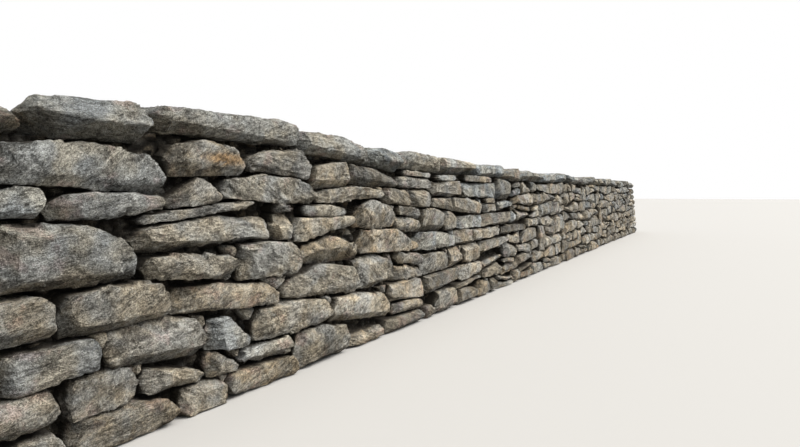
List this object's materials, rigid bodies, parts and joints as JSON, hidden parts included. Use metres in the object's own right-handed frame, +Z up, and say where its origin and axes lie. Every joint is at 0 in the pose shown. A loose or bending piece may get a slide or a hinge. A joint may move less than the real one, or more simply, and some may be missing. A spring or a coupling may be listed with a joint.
{
  "type": "dry stone wall",
  "caption": "Free-standing wall of flat field stones laid dry in rough courses, with a battered face on both sides, packed hearting and full-width cap stones.",
  "frame": {"origin": "middle of the wall's footprint, at ground level", "axes": "+X along the wall, away from its higher end; +Y from the front face to the back face; +Z up"},
  "size_m": [18, 0.8, 1.6515],
  "materials": {
    "face_stone": "matte",
    "footing_stone": "matte",
    "cap_stone": "matte",
    "small_stone": "matte",
    "hearting_stone": "matte"
  },
  "bodies": {
    "root": {"front_footing": "footing_stone", "back_footing": "footing_stone", "front_course_1": "face_stone", "front_course_2": "face_stone", "front_course_3": "face_stone", "front_course_4": "face_stone", "front_course_5": "face_stone", "front_course_6": "face_stone", "front_course_7": "face_stone", "back_course_1": "face_stone", "back_course_2": "face_stone", "back_course_3": "face_stone", "back_course_4": "face_stone", "back_course_5": "face_stone", "back_course_6": "face_stone", "back_course_7": "face_stone", "left_end_stones": "face_stone", "right_end_stones": "face_stone", "front_pins": "small_stone", "back_pins": "small_stone", "hearting": "hearting_stone", "cap_stones": "cap_stone"}
  },
  "joints": []
}
